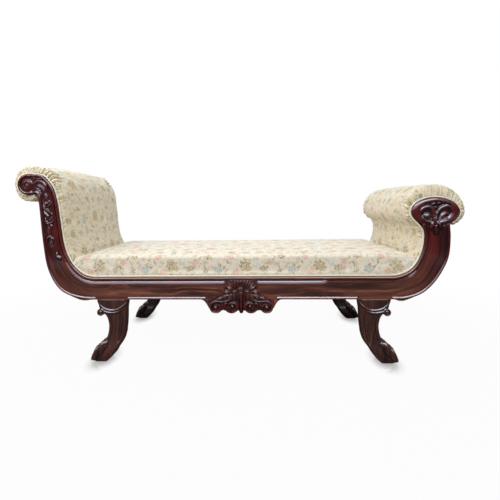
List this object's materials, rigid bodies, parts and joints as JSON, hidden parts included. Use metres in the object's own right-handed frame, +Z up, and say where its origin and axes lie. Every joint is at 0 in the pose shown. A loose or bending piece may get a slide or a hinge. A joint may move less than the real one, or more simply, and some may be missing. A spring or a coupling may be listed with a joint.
{
  "type": "recamier",
  "caption": "Backless couch with a high scrolled head, a low scrolled foot, sabre legs with carved paws, a carved apron and fixed upholstery.",
  "frame": {"origin": "on the floor under the middle of the couch's bounding box", "axes": "+X along the couch towards the low foot end, +Y towards the back long side, +Z up; the front long side faces -Y"},
  "size_m": [1.85, 0.6324, 0.808],
  "materials": {
    "rosewood": "dark rosewood, glossy lacquer",
    "beech": "bare planed beech",
    "screw_steel": "zinc plated",
    "webbing": "woven jute",
    "foam": "open-cell foam",
    "tapestry": "cream floral tapestry",
    "piping": "cream corded piping",
    "cambric": "black dust cloth"
  },
  "bodies": {
    "root": {"front_rail": "rosewood", "back_rail": "rosewood", "head_front_upright": "rosewood", "head_back_upright": "rosewood", "foot_front_upright": "rosewood", "foot_back_upright": "rosewood", "front_apron": "rosewood", "back_apron": "rosewood", "front_apron_carving": "rosewood", "back_apron_carving": "rosewood", "head_front_leg": "rosewood", "head_back_leg": "rosewood", "foot_front_leg": "rosewood", "foot_back_leg": "rosewood", "head_base_rail": "beech", "foot_base_rail": "beech", "head_seat_brace": "beech", "foot_seat_brace": "beech", "head_corner_stretcher": "beech", "foot_corner_stretcher": "beech", "head_neck_stretcher": "beech", "foot_neck_stretcher": "beech", "head_roll_core": "beech", "foot_roll_core": "beech", "head_arm_panel": "beech", "foot_arm_panel": "beech", "corner_blocks": "beech", "corner_screws": "screw_steel", "rail_dowels": "beech", "cross_webbing": "webbing", "long_webbing": "webbing", "seat_foam": "foam", "seat_cushion": "tapestry", "head_cushion": "tapestry", "foot_cushion": "tapestry", "head_outside_cover": "tapestry", "foot_outside_cover": "tapestry", "front_piping": "piping", "back_piping": "piping", "dust_cover": "cambric"}
  },
  "joints": []
}
